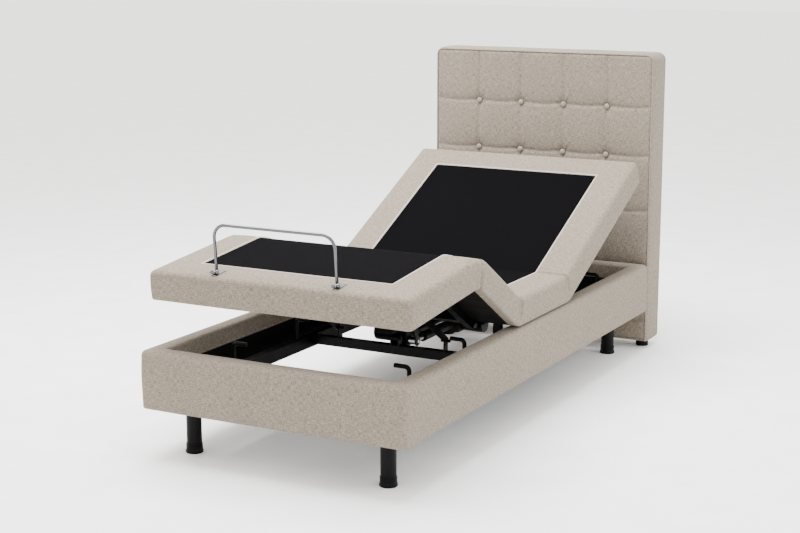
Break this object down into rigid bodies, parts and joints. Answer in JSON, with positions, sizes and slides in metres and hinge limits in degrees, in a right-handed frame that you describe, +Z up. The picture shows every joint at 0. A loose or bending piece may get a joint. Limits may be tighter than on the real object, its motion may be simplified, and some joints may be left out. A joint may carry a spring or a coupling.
{
  "type": "adjustable bed base",
  "caption": "Upholstered single bed base with tufted headboard; powered back, thigh and lower-leg sections lift a padded slatless platform, with a chrome mattress bar.",
  "frame": {"origin": "on the floor under the middle of the whole bed's box, headboard included", "axes": "+X across the bed to the right seen from the foot, +Y from the foot to the headboard, +Z up"},
  "size_m": [0.918, 2.146, 1.143],
  "materials": {
    "upholstery": "beige melange woven upholstery over foam, matt",
    "black_cloth": "black brushed non-slip cloth, matt",
    "lining": "black dust-cover cloth, matt",
    "timber": "planed softwood, raw",
    "plywood": "birch plywood, stained black",
    "black_steel": "black powder coat, fine texture",
    "zinc_steel": "bright zinc plate",
    "black_plastic": "moulded black plastic, light grain",
    "lead_sheath": "black cable sheath",
    "chrome": "polished chrome plate"
  },
  "bodies": {
    "base": {"foot_rail": "timber", "head_rail": "timber", "left_rail": "timber", "right_rail": "timber", "foot_rail_pad": "upholstery", "head_rail_pad": "upholstery", "left_rail_pad": "upholstery", "right_rail_pad": "upholstery", "corner_blocks": "timber", "frame_bolts": "zinc_steel", "leg_1": "black_steel", "leg_2": "black_steel", "leg_3": "black_steel", "leg_4": "black_steel", "foot_cap_1": "black_plastic", "foot_cap_2": "black_plastic", "foot_cap_3": "black_plastic", "foot_cap_4": "black_plastic", "headboard_frame": "timber", "headboard_board": "plywood", "headboard_pad": "upholstery", "headboard_border": "upholstery", "headboard_back": "lining", "headboard_glides": "black_plastic", "tuft_buttons": "upholstery", "left_beam": "black_steel", "right_beam": "black_steel", "front_crossbeam": "black_steel", "rear_crossbeam": "black_steel", "rest_hooks": "black_steel", "seat_frame": "black_steel", "seat_board": "plywood", "seat_pad": "upholstery", "seat_cloth": "black_cloth", "back_hinge_pins": "zinc_steel", "thigh_hinge_pins": "zinc_steel", "control_box": "black_plastic", "motor_leads": "lead_sheath"},
    "thigh": {"thigh_frame": "black_steel", "thigh_board": "plywood", "thigh_pad": "upholstery", "thigh_cloth": "black_cloth", "knee_hinge_pins": "zinc_steel"},
    "lower_leg": {"leg_frame": "black_steel", "leg_board": "plywood", "leg_pad": "upholstery", "leg_cloth": "black_cloth", "mattress_bar": "chrome"},
    "back": {"back_frame": "black_steel", "back_board": "plywood", "back_pad": "upholstery", "back_cloth": "black_cloth"},
    "back_motor": {"back_motor": "black_plastic"},
    "back_rod": {"back_rod": "zinc_steel"},
    "thigh_motor": {"thigh_motor": "black_plastic"},
    "thigh_rod": {"thigh_rod": "zinc_steel"},
    "knee_link_left": {"knee_link_left": "black_steel"},
    "knee_link_right": {"knee_link_right": "black_steel"},
    "bar_knob_left": {"bar_knob_left": "chrome"},
    "bar_knob_right": {"bar_knob_right": "chrome"}
  },
  "joints": [
    {"name": "back_tilt", "type": "hinge", "parent": "base", "child": "back", "pos_m": [0, 0.156, 0.3335], "axis": [1, 0, 0], "range_deg": [-25.5, 34.5]},
    {"name": "thigh_lift", "type": "hinge", "parent": "base", "child": "thigh", "pos_m": [0, -0.277, 0.3335], "axis": [-1, 0, 0], "range_deg": [-32, 8]},
    {"name": "knee_bend", "type": "hinge", "parent": "thigh", "child": "lower_leg", "pos_m": [0, -0.57297, 0.51844], "axis": [1, 0, 0], "range_deg": [-37.5, 9.5]},
    {"name": "back_motor_tilt", "type": "hinge", "parent": "base", "child": "back_motor", "pos_m": [0.015, -0.296, 0.262], "axis": [1, 0, 0], "range_deg": [-0.58, 0.56]},
    {"name": "back_rod_slide", "type": "slide", "parent": "back_motor", "child": "back_rod", "axis": [0, 0.9999, 0.015], "range_m": [-0.0305, 0.0409]},
    {"name": "thigh_motor_tilt", "type": "hinge", "parent": "base", "child": "thigh_motor", "pos_m": [0.078, 0.111, 0.262], "axis": [1, 0, 0], "range_deg": [-0.51, 0.53]},
    {"name": "thigh_rod_slide", "type": "slide", "parent": "thigh_motor", "child": "thigh_rod", "axis": [0, -1, -0.0046], "range_m": [-0.0425, 0.0114]},
    {"name": "knee_link_left_swing", "type": "hinge", "parent": "base", "child": "knee_link_left", "pos_m": [-0.2, -0.296, 0.275], "axis": [-1, 0, 0], "range_deg": [-33, 8.5]},
    {"name": "knee_link_right_swing", "type": "hinge", "parent": "base", "child": "knee_link_right", "pos_m": [0.2, -0.296, 0.275], "axis": [-1, 0, 0], "range_deg": [-33, 8.5]},
    {"name": "bar_knob_left_turn", "type": "hinge", "parent": "lower_leg", "child": "bar_knob_left", "pos_m": [-0.222, -1.00219, 0.58603], "axis": [0, -0.0937, 0.9956], "continuous": true},
    {"name": "bar_knob_right_turn", "type": "hinge", "parent": "lower_leg", "child": "bar_knob_right", "pos_m": [0.198, -1.00219, 0.58603], "axis": [0, -0.0937, 0.9956], "continuous": true}
  ],
  "couplings": [
    {"joint": "knee_bend", "follows": "thigh_lift", "ratio": 1.168},
    {"joint": "back_motor_tilt", "follows": "back_tilt", "ratio": -0.002176},
    {"joint": "back_rod_slide", "follows": "back_tilt", "m_per_rad": 0.066276},
    {"joint": "thigh_motor_tilt", "follows": "thigh_lift", "ratio": -0.000926},
    {"joint": "thigh_rod_slide", "follows": "thigh_lift", "m_per_rad": 0.074256},
    {"joint": "knee_link_left_swing", "follows": "thigh_lift", "ratio": 1.0111},
    {"joint": "knee_link_right_swing", "follows": "thigh_lift", "ratio": 1.0111}
  ]
}
